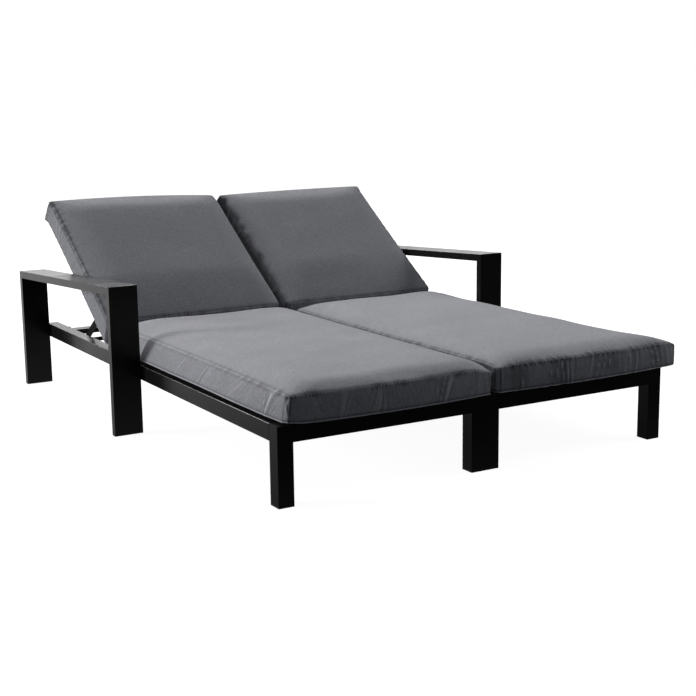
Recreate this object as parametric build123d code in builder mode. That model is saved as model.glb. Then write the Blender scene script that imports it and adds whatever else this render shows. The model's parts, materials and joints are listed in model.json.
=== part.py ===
"""Double chaise lounger: two aluminium lounger frames side by side between a pair of arms.

Each unit has a slatted seat deck, a backrest on two pivot bolts and a folding stay whose foot bar
works along a notched rack on each side rail. +X is to the sitter's left-hand unit's right, +Y runs
from the foot end to the head end and +Z is up. The origin is on the floor, under the middle of the
whole lounger. Lengths are in millimetres and angles in degrees.
"""
from build123d import *
import math
import os

os.makedirs("parts", exist_ok=True)

# Overall sizes of the frame
unit_width = 700.0
frame_length = 1982.0
rail_top = 233.0

# Frame tubes
leg_size = 50.0
rail_width = 44.0
rail_height = 50.0
tube_wall = 2.0
tube_corner = 2.0
head_rail_width = 50.0
head_rail_height = 20.0
seat_rail_width = 40.0
seat_rail_height = 20.0
seat_rail_gap = 11.0

# Arms
arm_width = 100.0
arm_depth = 27.0
arm_length = 993.0
arm_height = 504.0
arm_fall = 55.0

# Seat slats
seat_slat_count = 13
seat_slat_width = 60.0
slat_thickness = 12.0
slat_wall = 1.5
slat_bevel = 1.2
first_slat_gap = 16.0
last_slat_gap = 11.0

# Backrest frame and its pivot
recline = 33.8
recline_top = 60.0
pivot_from_head = 643.0
pivot_drop = 30.0
stile_width = 40.0
stile_thickness = 20.0
stile_length = 729.0
stile_tail = 14.0
bottom_bar_start = 34.0
bar_width = 40.0
back_slat_count = 6
back_slat_width = 50.0

# Pivot bolts, bushes and lugs
pivot_bolt_radius = 5.0
pivot_head_radius = 8.5
pivot_head_height = 5.5
running_fit = 0.05
side_gap = 0.5
lug_thickness = 6.0
lug_radius = 14.0
bush_wall = 4.0

# Stay and racks
stay_length = 212.0
stay_arm_width = 28.0
stay_arm_thickness = 5.0
stay_pin_radius = 4.0
stay_pin_head_radius = 7.0
stay_pin_head_height = 2.5
foot_bar_radius = 8.0
rack_thickness = 4.0
rack_foot = 17.0
rack_crown = 21.0
rack_end = 32.0
notch_slack = 0.5
notch_ramp = 8.0
rack_steps = (0.0, 22.0, recline, 47.0, recline_top)
rack_screw_radius = 2.5
rack_screw_head_radius = 4.5
rack_screw_head_height = 2.2
rack_screw_inset = 7.0

# Bolts of the frame
arm_bolt_radius = 3.0
arm_bolt_head_radius = 5.0
arm_bolt_head_height = 3.5
arm_bolt_grip = 12.0
arm_bolt_drops = (19.0, 7.0)
arm_bolt_spacing = 14.0
joining_bolt_radius = 4.0
joining_bolt_head_radius = 7.0
joining_bolt_head_height = 5.0
joining_bolt_foot_inset = 430.0
joining_bolt_pivot_gap = 194.0
joining_bolt_rack_gap = 65.0
bolt_clearance = 0.2
socket_share = 0.5
socket_sides = 6

# Plastic glides and caps, rubber buffers
glide_height = 4.0
glide_plug = 18.0
plug_clearance = 0.2
cap_thickness = 3.0
cap_plug = 14.0
buffer_radius = 10.0
seat_clearance = 0.3

# Cushions
boxing_height = 83.0
cushion_crown = 25.0
cushion_overhang = 28.0
front_bow = 22.0
side_draw = 11.0
slight_bow = 3.0
cushion_corner = 16.0
crown_insets = (0.0, 38.0, 110.0, 190.0)
crown_height_shares = (0.0, 0.52, 0.88, 1.0)
seat_cushion_inset = 30.0
seat_cushion_split = 22.0
cushion_gap = 14.0
arm_clearance = 3.0
cushion_spring_out = 74.0
spring_draw = 52.0
seat_cushion_end = 1298.0
seat_cushion_lean = 30.0
back_cushion_inset = 17.0
back_cushion_split = 14.0
back_cushion_gap = 16.0
back_cushion_start = 28.0
back_cushion_lean = 40.0
back_cushion_end = 768.0
back_top_bow = 7.0

# Places that follow from the sizes above
foot_y = cushion_overhang - (frame_length + cushion_overhang) / 2
head_y = foot_y + frame_length
rail_mid_z = rail_top - rail_height / 2
rail_bottom = rail_top - rail_height
rail_outer = unit_width
rail_inner = unit_width - rail_width
centre_rail_inner = rail_width
unit_centre = unit_width / 2
rail_start = foot_y + leg_size
pivot_y = head_y - pivot_from_head
pivot_z = rail_top - pivot_drop
rest_rad = math.radians(recline)
along = Vector(0, math.cos(rest_rad), math.sin(rest_rad))
upward = Vector(0, -math.sin(rest_rad), math.cos(rest_rad))
across = Vector(1, 0, 0)
pivot = Vector(0, pivot_y, pivot_z)
stay_top = pivot + along * stay_length
stay_foot = Vector(0, pivot_y + 2 * stay_length * math.cos(rest_rad), pivot_z)
stay_way = (stay_foot - stay_top).normalized()

# Distances from the middle of a unit to each layer beside the backrest, outermost first
rack_inner_half = unit_width / 2 - rail_width - rack_thickness
arm_outer_half = rack_inner_half - side_gap - stay_pin_head_height - seat_clearance
arm_inner_half = arm_outer_half - stay_arm_thickness
stile_outer_half = arm_inner_half - side_gap
stile_mid_half = stile_outer_half - stile_width / 2
stile_inner_half = stile_outer_half - stile_width
lug_inner_half = stile_outer_half - lug_thickness
foot_bar_half = rack_inner_half - side_gap
stile_mid_height = pivot_drop - stile_thickness / 2

sides = (("left", -1), ("right", 1))


def save(solid, node):
    """Labels a finished piece and writes it under its node's name."""
    solid.label = node
    export_step(solid, f"parts/{node}.step")


def lengthwise(x, y, z):
    """A plane that faces the head end."""
    return Plane(origin=(x, y, z), x_dir=(1, 0, 0), z_dir=(0, 1, 0))


def crosswise(x, y, z, way=1):
    """A plane that faces across the lounger, to +X or, with way -1, to -X."""
    return Plane(origin=(x, y, z), x_dir=(0, 1, 0), z_dir=(way, 0, 0))


def level(x, y, z):
    """A plane that faces up."""
    return Plane(origin=(x, y, z), x_dir=(1, 0, 0), z_dir=(0, 0, 1))


def on_backrest(x, distance, height):
    """A point of the backrest: its distance up the back and its height over the pivot line."""
    return pivot + across * x + along * distance + upward * height


def up_backrest(x, distance, height):
    """A plane that faces up the slope of the backrest."""
    return Plane(origin=on_backrest(x, distance, height), x_dir=across, z_dir=along)


def across_backrest(x, distance, height, way=1):
    """A plane that faces across the backrest, its own x running up the slope."""
    return Plane(origin=on_backrest(x, distance, height), x_dir=along, z_dir=across * way)


def section(width, height):
    """The cross-section of a rectangular tube."""
    RectangleRounded(width, height, tube_corner)
    Rectangle(width - 2 * tube_wall, height - 2 * tube_wall, mode=Mode.SUBTRACT)


def slat_face(plane, width):
    """The cross-section of a slat: a flat thin-walled tube with bevelled edges."""
    with BuildSketch(plane) as face:
        Rectangle(width, slat_thickness)
        chamfer(face.vertices(), slat_bevel)
        Rectangle(width - 2 * slat_wall, slat_thickness - 2 * slat_wall, mode=Mode.SUBTRACT)
    return face.sketch


def make_tube(node, plane, width, height, length):
    """Writes a straight tube that starts on a plane and runs along its normal."""
    with BuildPart() as tube:
        with BuildSketch(plane):
            section(width, height)
        extrude(amount=length)
    save(tube.part, node)


def drill(plane, radius, depth):
    """Cuts a round hole along a plane's normal out of the part being built."""
    with BuildSketch(plane) as hole:
        Circle(radius)
    extrude(hole.sketch, amount=depth, mode=Mode.SUBTRACT)


def add_bolt(seat, radius, length, head_radius, head_height):
    """Adds a socket-headed bolt: the head stands behind the seat plane, the shank before it."""
    with BuildSketch(seat) as shank:
        Circle(radius)
    extrude(shank.sketch, amount=length)
    with BuildSketch(seat) as head:
        Circle(head_radius)
    extrude(head.sketch, amount=-head_height)
    with BuildSketch(seat.offset(-head_height)) as socket:
        RegularPolygon(head_radius * socket_share, socket_sides)
    extrude(socket.sketch, amount=head_height * socket_share, mode=Mode.SUBTRACT)


# Places of the two bolts of each arm leg, one above the other: the front leg's, then the rear leg's
arm_front = frame_length - arm_length
arm_rear = frame_length - arm_depth
arm_bolt_ys = [foot_y + start + arm_depth / 2 for start in (arm_front, arm_rear)]
arm_bolt_spots = []
for bolt_y, drop in zip(arm_bolt_ys, arm_bolt_drops):
    bolt_z = rail_top - drop
    arm_bolt_spots.append(((bolt_y, bolt_z), (bolt_y, bolt_z - arm_bolt_spacing)))
front_bolt_spots, rear_bolt_spots = arm_bolt_spots
rack_front = pivot_y + 2 * stay_length * math.cos(math.radians(recline_top)) - rack_end
rack_rear = pivot_y + 2 * stay_length + rack_end
first_joining_bolt = foot_y + joining_bolt_foot_inset
middle_joining_bolt = pivot_y - joining_bolt_pivot_gap
last_joining_bolt = rack_rear + joining_bolt_rack_gap
joining_bolt_ys = (first_joining_bolt, middle_joining_bolt, last_joining_bolt)


# Legs at the foot end and at the head end of the centre rails
def make_leg(node, x, y):
    """Writes a square leg, closed at the top and open below for its glide."""
    hollow = leg_size - 2 * tube_wall
    with BuildPart() as leg:
        with BuildSketch(level(x, y, glide_height)):
            RectangleRounded(leg_size, leg_size, tube_corner)
        extrude(amount=rail_top - glide_height)
        with BuildSketch(level(x, y, glide_height)):
            Rectangle(hollow, hollow)
        extrude(amount=rail_top - glide_height - tube_wall, mode=Mode.SUBTRACT)
    save(leg.part, node)


outer_leg_x = rail_outer - leg_size / 2
inner_leg_x = leg_size / 2
foot_leg_y = foot_y + leg_size / 2
head_leg_y = head_y - leg_size / 2
for side, sign in sides:
    make_leg(f"{side}_foot_outer_leg", sign * outer_leg_x, foot_leg_y)
    make_leg(f"{side}_foot_inner_leg", sign * inner_leg_x, foot_leg_y)
    make_leg(f"{side}_head_inner_leg", sign * inner_leg_x, head_leg_y)


# Outer side rails, drilled for the arm bolts, the backrest's pivot bolt and the rack screws
outer_rail_mid = rail_outer - rail_width / 2
outer_rail_length = head_y - cap_thickness - rail_start
rack_screw_ys = (rack_front + rack_screw_inset, rack_rear - rack_screw_inset)
for side, sign in sides:
    with BuildPart() as rail:
        with BuildSketch(lengthwise(sign * outer_rail_mid, rail_start, rail_mid_z)):
            section(rail_width, rail_height)
        extrude(amount=outer_rail_length)
        for bolt_y, bolt_z in front_bolt_spots + rear_bolt_spots:
            start = crosswise(sign * rail_inner, bolt_y, bolt_z, sign)
            drill(start, arm_bolt_radius + bolt_clearance, rail_width)
        wall_face = crosswise(sign * rail_inner, pivot_y, pivot_z, sign)
        drill(wall_face, pivot_bolt_radius + bolt_clearance, 2 * tube_wall)
        for screw_y in rack_screw_ys:
            screw_face = crosswise(sign * rail_inner, screw_y, pivot_z, sign)
            drill(screw_face, rack_screw_radius + bolt_clearance, 2 * tube_wall)
    save(rail.part, f"{side}_outer_side_rail")


# Centre side rails, drilled for the pivot bolt, the rack screws and the bolts that join the units
centre_rail_length = head_y - leg_size - rail_start
for side, sign in sides:
    with BuildPart() as rail:
        with BuildSketch(lengthwise(sign * rail_width / 2, rail_start, rail_mid_z)):
            section(rail_width, rail_height)
        extrude(amount=centre_rail_length)
        for bolt_y in joining_bolt_ys:
            start = crosswise(sign * rail_width, bolt_y, rail_mid_z, -sign)
            drill(start, joining_bolt_radius + bolt_clearance, rail_width)
        wall_face = crosswise(sign * rail_width, pivot_y, pivot_z, -sign)
        drill(wall_face, pivot_bolt_radius + bolt_clearance, 2 * tube_wall)
        for screw_y in rack_screw_ys:
            screw_face = crosswise(sign * rail_width, screw_y, pivot_z, -sign)
            drill(screw_face, rack_screw_radius + bolt_clearance, 2 * tube_wall)
    save(rail.part, f"{side}_centre_side_rail")


# Cross rails: the foot rail, the rail under the rear of the seat and the low rail at the head
seat_rail_rear = pivot_y - (lug_radius + pivot_drop) - seat_rail_gap
seat_rail_y = seat_rail_rear - seat_rail_width / 2
seat_rail_z = rail_top - slat_thickness - seat_rail_height / 2
head_rail_y = head_y - head_rail_width / 2
head_rail_z = rail_bottom + head_rail_height / 2
for side, sign in sides:
    inner_x = leg_size if sign > 0 else -(rail_outer - leg_size)
    foot_rail_start = crosswise(inner_x, foot_y + rail_width / 2, rail_mid_z)
    foot_rail_length = unit_width - 2 * leg_size
    make_tube(f"{side}_foot_rail", foot_rail_start, rail_width, rail_height, foot_rail_length)
    inner_x = centre_rail_inner if sign > 0 else -rail_inner
    seat_rail_start = crosswise(inner_x, seat_rail_y, seat_rail_z)
    seat_rail_length = unit_width - 2 * rail_width
    make_tube(
        f"{side}_seat_cross_rail", seat_rail_start, seat_rail_width, seat_rail_height, seat_rail_length
    )
    inner_x = leg_size if sign > 0 else -rail_inner
    head_rail_start = crosswise(inner_x, head_rail_y, head_rail_z)
    head_rail_length = unit_width - rail_width - leg_size
    make_tube(
        f"{side}_head_cross_rail", head_rail_start, head_rail_width, head_rail_height, head_rail_length
    )


# Seat slats, set flush with the tops of the rails
slats_front = foot_y + rail_width + first_slat_gap
slats_rear = pivot_y - (lug_radius + pivot_drop) + last_slat_gap
slat_pitch = (slats_rear - slats_front - seat_slat_width) / (seat_slat_count - 1)
for side, sign in sides:
    inner_x = centre_rail_inner if sign > 0 else -rail_inner
    with BuildPart() as slats:
        for number in range(seat_slat_count):
            slat_y = slats_front + seat_slat_width / 2 + number * slat_pitch
            slat_start = crosswise(inner_x, slat_y, rail_top - slat_thickness / 2)
            extrude(slat_face(slat_start, seat_slat_width), amount=unit_width - 2 * rail_width)
    save(slats.part, f"{side}_seat_slats")


# Arms: flat tubes mitred at both top corners, sloping down towards the head end
arm_rear_height = arm_height - arm_fall
arm_fall_per_mm = arm_fall / arm_length
arm_slope = math.atan(arm_fall_per_mm)


def arm_top_at(distance):
    """Height of an arm's top at a distance behind the front face of its front leg."""
    return arm_height - distance * arm_fall_per_mm


arm_under = arm_depth / math.cos(arm_slope)
front_under = arm_top_at(arm_depth) - arm_under
rear_under = arm_top_at(arm_length - arm_depth) - arm_under
front_leg_outline = (
    (0, glide_height),
    (arm_depth, glide_height),
    (arm_depth, front_under),
    (0, arm_height),
)
rear_leg_outline = (
    (arm_length - arm_depth, glide_height),
    (arm_length, glide_height),
    (arm_length, arm_rear_height),
    (arm_length - arm_depth, rear_under),
)
top_outline = (
    (0, arm_height),
    (arm_depth, front_under),
    (arm_length - arm_depth, rear_under),
    (arm_length, arm_rear_height),
)


def make_arm_leg(node, x, sign, outline, bolt_spots):
    """Writes an upright of an arm, open below for its glide and drilled for its two bolts."""
    mid_y = foot_y + arm_front + (outline[0][0] + outline[1][0]) / 2
    hollow_depth = arm_depth - 2 * tube_wall
    hollow_width = arm_width - 2 * tube_wall
    hollow_height = min(outline[2][1], outline[3][1]) - glide_height - 2 * tube_wall
    with BuildPart() as leg:
        with BuildSketch(crosswise(x, foot_y + arm_front, 0)):
            with BuildLine():
                Polyline(*outline, close=True)
            make_face()
        extrude(amount=arm_width)
        fillet(leg.edges().filter_by(Axis.Z), tube_corner / 2)
        with BuildSketch(level(x + arm_width / 2, mid_y, glide_height)):
            Rectangle(hollow_width, hollow_depth)
        extrude(amount=hollow_height, mode=Mode.SUBTRACT)
        for bolt_y, bolt_z in bolt_spots:
            side_face = crosswise(sign * rail_outer, bolt_y, bolt_z, sign)
            drill(side_face, arm_bolt_radius + bolt_clearance, 2 * tube_wall)
    save(leg.part, node)


def make_arm_top(node, x):
    """Writes the sloping top tube of an arm between its two mitres."""
    inset = 2 * arm_depth
    hollow_length = arm_length - 2 * inset
    with BuildPart() as top:
        with BuildSketch(crosswise(x, foot_y + arm_front, 0)):
            with BuildLine():
                Polyline(*top_outline, close=True)
            make_face()
        extrude(amount=arm_width)
        fillet(top.edges().filter_by(lambda edge: edge.length > hollow_length), tube_corner / 2)
        middle_y = arm_length / 2
        middle_z = arm_top_at(middle_y) - arm_under / 2
        slope_way = Vector(0, math.cos(arm_slope), -math.sin(arm_slope))
        middle = Vector(x + arm_width / 2, foot_y + arm_front + middle_y, middle_z)
        with BuildSketch(Plane(origin=middle, x_dir=across, z_dir=slope_way)):
            Rectangle(arm_width - 2 * tube_wall, arm_depth - 2 * tube_wall)
        extrude(amount=hollow_length / 2, both=True, mode=Mode.SUBTRACT)
    save(top.part, node)


for side, sign in sides:
    arm_x = rail_outer if sign > 0 else -rail_outer - arm_width
    make_arm_leg(f"{side}_arm_front_leg", arm_x, sign, front_leg_outline, front_bolt_spots)
    make_arm_leg(f"{side}_arm_rear_leg", arm_x, sign, rear_leg_outline, rear_bolt_spots)
    make_arm_top(f"{side}_arm_top", arm_x)


# Bolts through each outer rail into the arm's uprights, heads on the inside of the rail
with BuildPart() as arm_bolts:
    for side, sign in sides:
        for bolt_y, bolt_z in front_bolt_spots + rear_bolt_spots:
            add_bolt(
                crosswise(sign * rail_inner, bolt_y, bolt_z, sign),
                arm_bolt_radius,
                rail_width + arm_bolt_grip,
                arm_bolt_head_radius,
                arm_bolt_head_height,
            )
save(arm_bolts.part, "arm_bolts")


# Bolts that join the two units through both centre rails, each with its nut
with BuildPart() as joining_bolts:
    for bolt_y in joining_bolt_ys:
        add_bolt(
            crosswise(-rail_width, bolt_y, rail_mid_z),
            joining_bolt_radius,
            2 * rail_width + joining_bolt_head_height,
            joining_bolt_head_radius,
            joining_bolt_head_height,
        )
        with BuildSketch(crosswise(rail_width, bolt_y, rail_mid_z)):
            RegularPolygon(joining_bolt_head_radius, socket_sides)
        extrude(amount=joining_bolt_head_height)
save(joining_bolts.part, "joining_bolts")


# Glides: a plate under each tube and a plug inside it
def add_glide(x, y, width, depth):
    """Adds one glide under an upright of the given outside size."""
    plug_width = width - 2 * tube_wall - 2 * plug_clearance
    plug_depth = depth - 2 * tube_wall - 2 * plug_clearance
    with BuildSketch(level(x, y, 0)) as plate:
        RectangleRounded(width, depth, tube_corner)
    extrude(plate.sketch, amount=glide_height)
    with BuildSketch(level(x, y, glide_height)) as plug:
        Rectangle(plug_width, plug_depth)
    extrude(plug.sketch, amount=glide_plug)


with BuildPart() as leg_glides:
    for side, sign in sides:
        add_glide(sign * outer_leg_x, foot_leg_y, leg_size, leg_size)
        add_glide(sign * inner_leg_x, foot_leg_y, leg_size, leg_size)
        add_glide(sign * inner_leg_x, head_leg_y, leg_size, leg_size)
save(leg_glides.part, "leg_glides")

with BuildPart() as arm_glides:
    for side, sign in sides:
        for bolt_y in arm_bolt_ys:
            add_glide(sign * (rail_outer + arm_width / 2), bolt_y, arm_width, arm_depth)
save(arm_glides.part, "arm_glides")


# Caps in the head ends of the outer rails
with BuildPart() as rail_caps:
    for side, sign in sides:
        cap_plane = lengthwise(sign * outer_rail_mid, head_y - cap_thickness, rail_mid_z)
        with BuildSketch(cap_plane):
            RectangleRounded(rail_width, rail_height, tube_corner)
        extrude(amount=cap_thickness)
        with BuildSketch(cap_plane):
            Rectangle(
                rail_width - 2 * tube_wall - 2 * plug_clearance,
                rail_height - 2 * tube_wall - 2 * plug_clearance,
            )
        extrude(amount=-cap_plug)
        for bolt_y, bolt_z in rear_bolt_spots:
            bolt_plane = crosswise(sign * rail_inner, bolt_y, bolt_z, sign)
            drill(bolt_plane, arm_bolt_radius + bolt_clearance, rail_width)
save(rail_caps.part, "rail_end_caps")


# Rubber buffers on the head rails, where the lowered backrest comes to rest
buffer_height = pivot_z + stile_mid_height - stile_thickness / 2 - seat_clearance
head_rail_top = rail_bottom + head_rail_height
with BuildPart() as buffers:
    for side, sign in sides:
        for way in (-1, 1):
            buffer_x = sign * unit_centre + way * stile_mid_half
            with BuildSketch(level(buffer_x, head_rail_y, head_rail_top)):
                Circle(buffer_radius)
            extrude(amount=buffer_height - head_rail_top)
save(buffers.part, "backrest_buffers")


# Racks: a notched plate on each rail's inner face, its steep notch walls towards the head end
notch_radius = foot_bar_radius + notch_slack
rack_foot_z = pivot_z - rack_foot
rack_top_z = pivot_z + rack_crown


rack_centres = [pivot_y + 2 * stay_length * math.cos(math.radians(step)) for step in rack_steps]
for side, sign in sides:
    with BuildPart() as racks:
        for rail_x, way in ((sign * rail_inner, -sign), (sign * centre_rail_inner, sign)):
            with BuildSketch(crosswise(rail_x, 0, 0)) as plate:
                with BuildLine():
                    Polyline(
                        (rack_front, rack_foot_z),
                        (rack_rear, rack_foot_z),
                        (rack_rear, rack_top_z),
                        (rack_front, rack_top_z),
                        close=True,
                    )
                make_face()
                fillet(plate.vertices(), notch_ramp / 2)
                for notch_y in rack_centres:
                    with Locations((notch_y, pivot_z)):
                        Circle(notch_radius, mode=Mode.SUBTRACT)
                    with BuildLine():
                        Polyline(
                            (notch_y - notch_radius, pivot_z),
                            (notch_y + notch_radius, pivot_z),
                            (notch_y + notch_radius, rack_top_z + notch_ramp),
                            (notch_y - notch_radius - notch_ramp, rack_top_z + notch_ramp),
                            close=True,
                        )
                    make_face(mode=Mode.SUBTRACT)
                for screw_y in rack_screw_ys:
                    with Locations((screw_y, pivot_z)):
                        Circle(rack_screw_radius + bolt_clearance, mode=Mode.SUBTRACT)
            extrude(amount=way * rack_thickness)
    save(racks.part, f"{side}_racks")

with BuildPart() as rack_screws:
    for side, sign in sides:
        for rail_x, way in ((sign * rail_inner, sign), (sign * centre_rail_inner, -sign)):
            for screw_y in rack_screw_ys:
                add_bolt(
                    crosswise(rail_x - way * rack_thickness, screw_y, pivot_z, way),
                    rack_screw_radius,
                    rack_thickness + 2 * tube_wall,
                    rack_screw_head_radius,
                    rack_screw_head_height,
                )
save(rack_screws.part, "rack_screws")


# Pivot bolts and bushes, held by the rails; the backrest's lugs turn on the bolts
lug_face = stile_outer_half
bush_length = unit_width / 2 - rail_width - lug_face - seat_clearance
hinge_sides = [(sign * unit_centre, way) for side, sign in sides for way in (-1, 1)]
with BuildPart() as pivot_bolts:
    for middle, way in hinge_sides:
        add_bolt(
            crosswise(middle + way * (lug_inner_half - seat_clearance), pivot_y, pivot_z, way),
            pivot_bolt_radius,
            unit_width / 2 - rail_width + tube_wall - lug_inner_half + seat_clearance,
            pivot_head_radius,
            pivot_head_height,
        )
save(pivot_bolts.part, "pivot_bolts")

with BuildPart() as pivot_bushes:
    for middle, way in hinge_sides:
        rail_face_x = middle + way * (unit_width / 2 - rail_width)
        with BuildSketch(crosswise(rail_face_x, pivot_y, pivot_z, -way)):
            Circle(pivot_bolt_radius + running_fit + bush_wall)
            Circle(pivot_bolt_radius + running_fit, mode=Mode.SUBTRACT)
        extrude(amount=bush_length)
save(pivot_bushes.part, "pivot_bushes")


# Backrest frame: two stiles, a bar at each end and slats between
top_bar_start = stile_length - stile_tail - bar_width
slats_start = bottom_bar_start + bar_width
back_slat_gap = (top_bar_start - slats_start - back_slat_count * back_slat_width) / (back_slat_count + 1)
between_stiles = 2 * stile_inner_half
for side, sign in sides:
    middle = sign * unit_centre
    for name, way in (("outer", sign), ("inner", -sign)):
        stile_start = up_backrest(middle + way * stile_mid_half, -stile_tail, stile_mid_height)
        make_tube(f"{side}_back_{name}_stile", stile_start, stile_width, stile_thickness, stile_length)
    for name, start in (("bottom", bottom_bar_start), ("top", top_bar_start)):
        bar_mid = start + bar_width / 2
        bar_plane = across_backrest(middle - stile_inner_half, bar_mid, stile_mid_height)
        make_tube(f"{side}_back_{name}_bar", bar_plane, bar_width, stile_thickness, between_stiles)
    with BuildPart() as slats:
        for number in range(back_slat_count):
            slat_mid = slats_start + back_slat_gap + back_slat_width / 2
            slat_mid = slat_mid + number * (back_slat_gap + back_slat_width)
            slat_height = pivot_drop - slat_thickness / 2
            slat_start = across_backrest(middle - stile_inner_half, slat_mid, slat_height)
            extrude(slat_face(slat_start, back_slat_width), amount=between_stiles)
    save(slats.part, f"{side}_back_slats")


# Lugs under the stiles: rounded plates bored for the pivot bolts and for the stay's pins
def add_lug(x, way, distance, bore_radius):
    """Adds a lug that hangs from a stile's underside at a distance up the back."""
    under = pivot_drop - stile_thickness
    with BuildSketch(across_backrest(x, distance, 0, way)) as lug:
        Circle(lug_radius)
        with BuildLine():
            Polyline(
                (-lug_radius, 0),
                (lug_radius, 0),
                (lug_radius, way * under),
                (-lug_radius, way * under),
                close=True,
            )
        make_face()
        with BuildLine():
            Polyline(
                (-2 * lug_radius, way * under),
                (2 * lug_radius, way * under),
                (2 * lug_radius, way * lug_radius * 2),
                (-2 * lug_radius, way * lug_radius * 2),
                close=True,
            )
        make_face(mode=Mode.SUBTRACT)
        Circle(bore_radius + running_fit, mode=Mode.SUBTRACT)
    extrude(lug.sketch, amount=-lug_thickness)


for side, sign in sides:
    with BuildPart() as lugs:
        for way in (-1, 1):
            lug_x = sign * unit_centre + way * stile_outer_half
            add_lug(lug_x, way, 0, pivot_bolt_radius)
            add_lug(lug_x, way, stay_length, stay_pin_radius)
    save(lugs.part, f"{side}_back_lugs")


# Stay: a flat arm each side and a round foot bar through both, on pins in the stay lugs
for side, sign in sides:
    middle = sign * unit_centre
    for name, way in (("outer", sign), ("inner", -sign)):
        stay_middle = (stay_top + stay_foot) / 2 + across * (middle + way * arm_outer_half)
        with BuildPart() as stay_arm:
            with BuildSketch(Plane(origin=stay_middle, x_dir=stay_way, z_dir=across * -way)):
                SlotCenterToCenter(stay_length, stay_arm_width)
                with Locations((-stay_length / 2, 0)):
                    Circle(stay_pin_radius + running_fit, mode=Mode.SUBTRACT)
                with Locations((stay_length / 2, 0)):
                    Circle(foot_bar_radius + running_fit, mode=Mode.SUBTRACT)
            extrude(amount=stay_arm_thickness)
        save(stay_arm.part, f"{side}_stay_{name}_arm")
    with BuildPart() as foot_bar:
        with BuildSketch(crosswise(middle - foot_bar_half, stay_foot.Y, stay_foot.Z)):
            Circle(foot_bar_radius)
        extrude(amount=2 * foot_bar_half)
        chamfer(foot_bar.edges().filter_by(GeomType.CIRCLE), side_gap)
    save(foot_bar.part, f"{side}_stay_foot_bar")
    with BuildPart() as pins:
        for way in (-1, 1):
            head_x = middle + way * (arm_outer_half + seat_clearance)
            pin_seat = crosswise(head_x, stay_top.Y, stay_top.Z, -way)
            with BuildSketch(pin_seat):
                Circle(stay_pin_radius)
            extrude(amount=arm_outer_half + seat_clearance - lug_inner_half + side_gap)
            with BuildSketch(pin_seat):
                Circle(stay_pin_head_radius)
            extrude(amount=-stay_pin_head_height)
            chamfer(pins.edges().filter_by(GeomType.CIRCLE).group_by(Axis.X)[0 if way < 0 else -1], side_gap)
    save(pins.part, f"{side}_stay_pins")


# Cushions: a boxing round four bowed sides and a crown that rises from its seam
def bowed_side(start, end, bow):
    """An arc between two corners whose middle lies a little to the left of the straight line."""
    way = (end - start).normalized()
    middle = (start + end) / 2 + Vector(-way.Y, way.X, 0) * bow
    ThreePointArc(start, middle, end)


def cushion_outline(plane, corners, bows, inset):
    """The cushion's plan at one level, drawn in from its seam by the inset."""
    moves = ((1, 1), (-1, 1), (-1, -1), (1, -1))
    points = [Vector(x + mx * inset, y + my * inset, 0) for (x, y), (mx, my) in zip(corners, moves)]
    with BuildSketch(plane) as outline:
        with BuildLine():
            for start, end, bow in zip(points, points[1:] + points[:1], bows):
                bowed_side(start, end, bow)
        make_face()
        fillet(outline.vertices(), cushion_corner)
    return outline.sketch


def make_cushion(node, base, low_corners, seam_corners, bows):
    """Writes a boxed cushion on a base plane; corners and bows run from the near left one."""
    underside = cushion_outline(base, low_corners, bows, 0)
    seam = cushion_outline(base.offset(boxing_height), seam_corners, bows, 0)
    crown = []
    for inset, share in zip(crown_insets, crown_height_shares):
        crown_level = base.offset(boxing_height + share * cushion_crown)
        crown.append(cushion_outline(crown_level, seam_corners, bows, inset))
    with BuildPart() as cushion:
        loft([underside, seam], ruled=True)
        loft(crown)
    save(cushion.part, node)


seat_front = foot_y - cushion_overhang + front_bow
seat_low_end = foot_y + seat_cushion_end
seat_seam_end = seat_low_end - seat_cushion_lean
right_edge = rail_outer - arm_clearance
seat_base = level(0, 0, rail_top + seat_clearance)
seat_cushions = (
    (
        "left",
        seat_cushion_inset - unit_width,
        seat_cushion_split,
        0,
        (-front_bow, -slight_bow, slight_bow, side_draw),
    ),
    (
        "right",
        seat_cushion_split + cushion_gap,
        right_edge,
        cushion_spring_out,
        (-front_bow, spring_draw, slight_bow, -slight_bow),
    ),
)
for side, low_x, high_x, spring_out, bows in seat_cushions:
    ends = []
    for end_y in (seat_low_end, seat_seam_end):
        ends.append(
            (
                (low_x, seat_front),
                (high_x + spring_out, seat_front),
                (high_x, end_y),
                (low_x, end_y),
            )
        )
    make_cushion(f"{side}_seat_cushion", seat_base, ends[0], ends[1], bows)

back_base = Plane(origin=on_backrest(0, 0, pivot_drop + seat_clearance), x_dir=across, z_dir=upward)
back_cushions = (
    (
        "left",
        back_cushion_inset - unit_width,
        back_cushion_split,
        (-slight_bow, -slight_bow, -back_top_bow, side_draw),
    ),
    (
        "right",
        back_cushion_split + back_cushion_gap,
        right_edge,
        (-slight_bow, slight_bow, -back_top_bow, -slight_bow),
    ),
)
for side, low_x, high_x, bows in back_cushions:
    starts = []
    for start in (back_cushion_start, back_cushion_start + back_cushion_lean):
        starts.append(
            (
                (low_x, start),
                (high_x, start),
                (high_x, back_cushion_end),
                (low_x, back_cushion_end),
            )
        )
    make_cushion(f"{side}_back_cushion", back_base, starts[0], starts[1], bows)
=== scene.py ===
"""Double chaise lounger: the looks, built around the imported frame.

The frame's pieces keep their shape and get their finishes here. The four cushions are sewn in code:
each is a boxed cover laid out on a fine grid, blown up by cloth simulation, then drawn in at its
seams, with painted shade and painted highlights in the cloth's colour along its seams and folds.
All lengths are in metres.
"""
import json
import math

import bpy
import numpy as np
from mathutils import Matrix, Vector


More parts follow.
